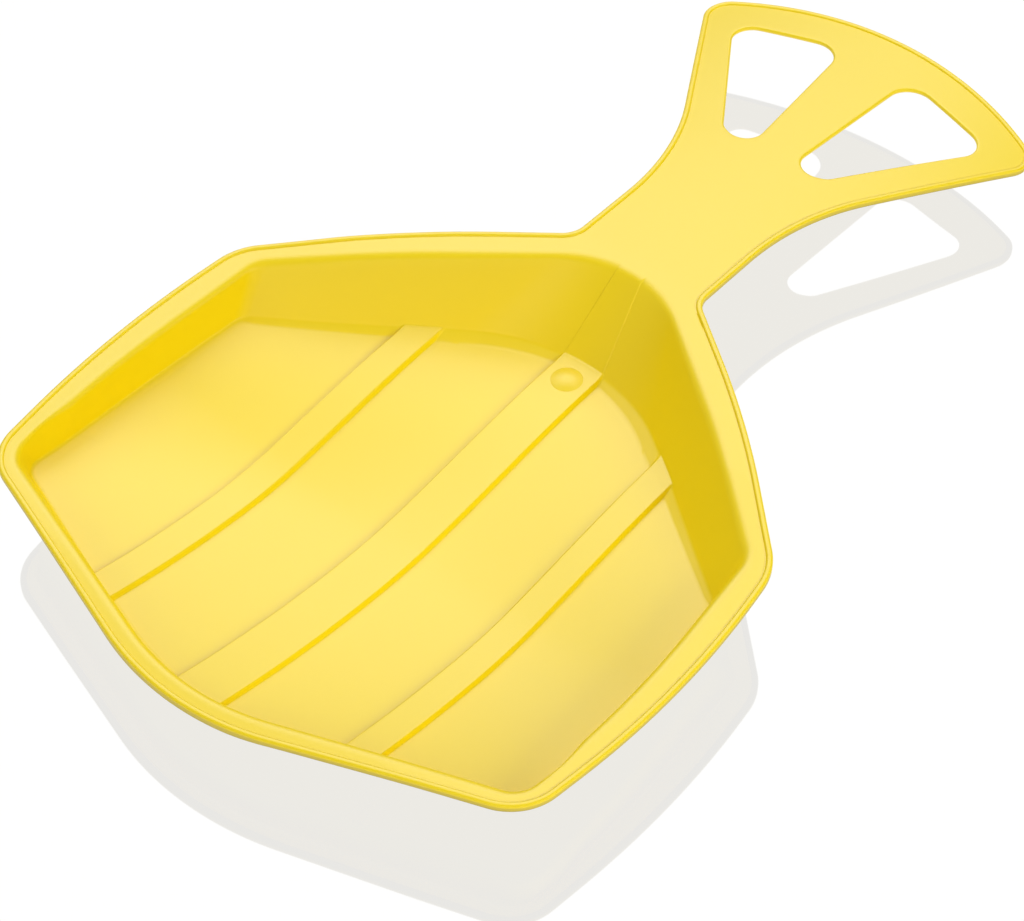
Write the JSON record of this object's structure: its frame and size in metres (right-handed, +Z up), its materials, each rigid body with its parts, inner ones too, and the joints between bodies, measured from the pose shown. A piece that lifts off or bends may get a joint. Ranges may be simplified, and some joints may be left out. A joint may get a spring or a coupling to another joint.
{
  "type": "snow slider",
  "caption": "One-piece moulded snow slider: shallow six-sided seat pan with a rolled rim, raised floor strips and a fan-shaped handle with finger openings.",
  "frame": {"origin": "centre of the slider's outline box, on the ground plane below it", "axes": "+X across to the rider's right when facing the handle, +Y forward from the pan to the handle, +Z up from the ground"},
  "size_m": [0.3322, 0.5594, 0.0484],
  "materials": {
    "moulding": "smooth satin yellow moulding"
  },
  "bodies": {
    "root": {"floor_middle_strip": "moulding", "floor_strip_left": "moulding", "floor_strip_right": "moulding", "floor_panel_inner_left": "moulding", "floor_panel_inner_right": "moulding", "floor_panel_outer_left": "moulding", "floor_panel_outer_right": "moulding", "gate_dome": "moulding", "front_wall_left": "moulding", "front_wall_right": "moulding", "side_wall_left": "moulding", "side_wall_right": "moulding", "rear_wall_left": "moulding", "rear_wall_right": "moulding", "rim_front_left": "moulding", "rim_front_right": "moulding", "rim_side_left": "moulding", "rim_side_right": "moulding", "rim_rear_left": "moulding", "rim_rear_right": "moulding", "edge_front_left": "moulding", "edge_front_right": "moulding", "edge_side_left": "moulding", "edge_side_right": "moulding", "edge_rear_left": "moulding", "edge_rear_right": "moulding", "handle_neck": "moulding", "handle_web": "moulding", "handle_arm_left": "moulding", "handle_arm_right": "moulding", "grip_bar_left": "moulding", "grip_bar_right": "moulding", "edge_handle_left": "moulding", "edge_handle_right": "moulding"}
  },
  "joints": []
}
